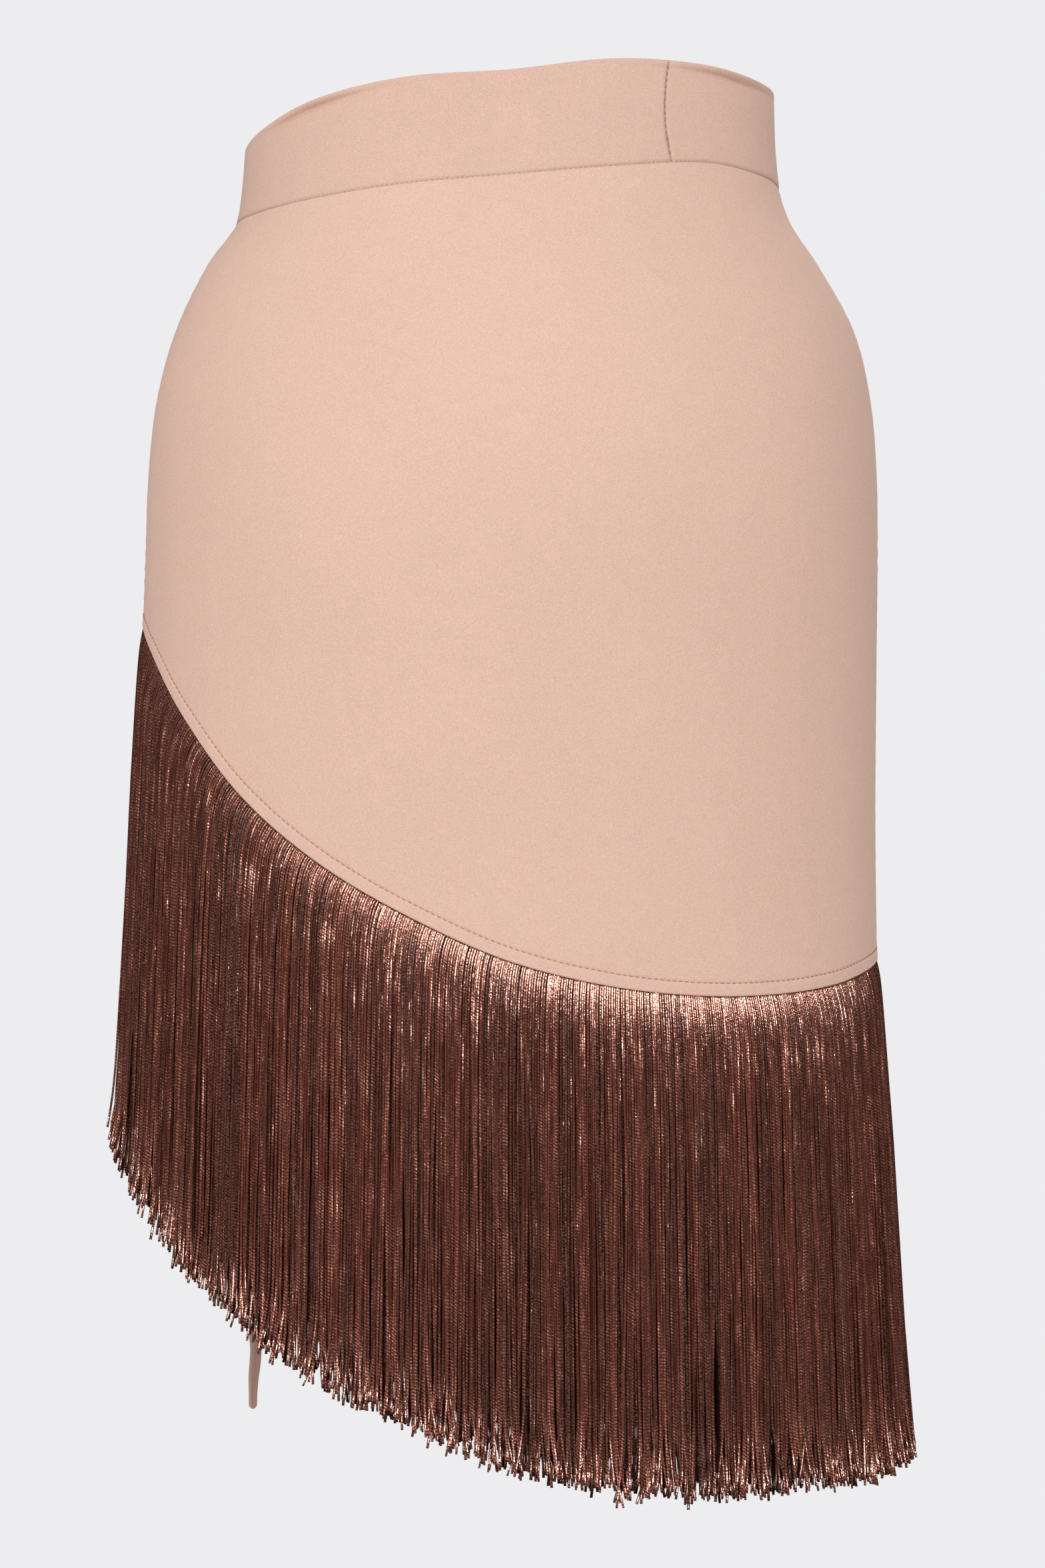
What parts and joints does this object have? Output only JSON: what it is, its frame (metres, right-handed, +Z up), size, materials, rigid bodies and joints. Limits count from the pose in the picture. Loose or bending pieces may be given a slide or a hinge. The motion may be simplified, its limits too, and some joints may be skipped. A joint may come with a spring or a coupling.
{
  "type": "fringe skirt",
  "caption": "Fitted skirt of stretch cloth with a waistband, a slanted hem and long cord fringe hanging all round from the hem, shown as worn.",
  "frame": {"origin": "middle of the waist, on the upright axis of the garment, where the wearer holds the skirt up", "axes": "+Z up the wearer, -Y towards the seat side that is seen, +Y towards the wearer's front, -X towards the side where the hem is highest"},
  "size_m": [0.3857, 0.2544, 0.6659],
  "materials": {
    "knit": "matte",
    "fringe": "satin"
  },
  "bodies": {
    "root": {"waistband_back": "knit", "waistband_front": "knit", "back_panel": "knit", "front_panel": "knit", "fringe_back": "fringe", "fringe_front": "fringe", "tie": "knit"}
  },
  "joints": []
}
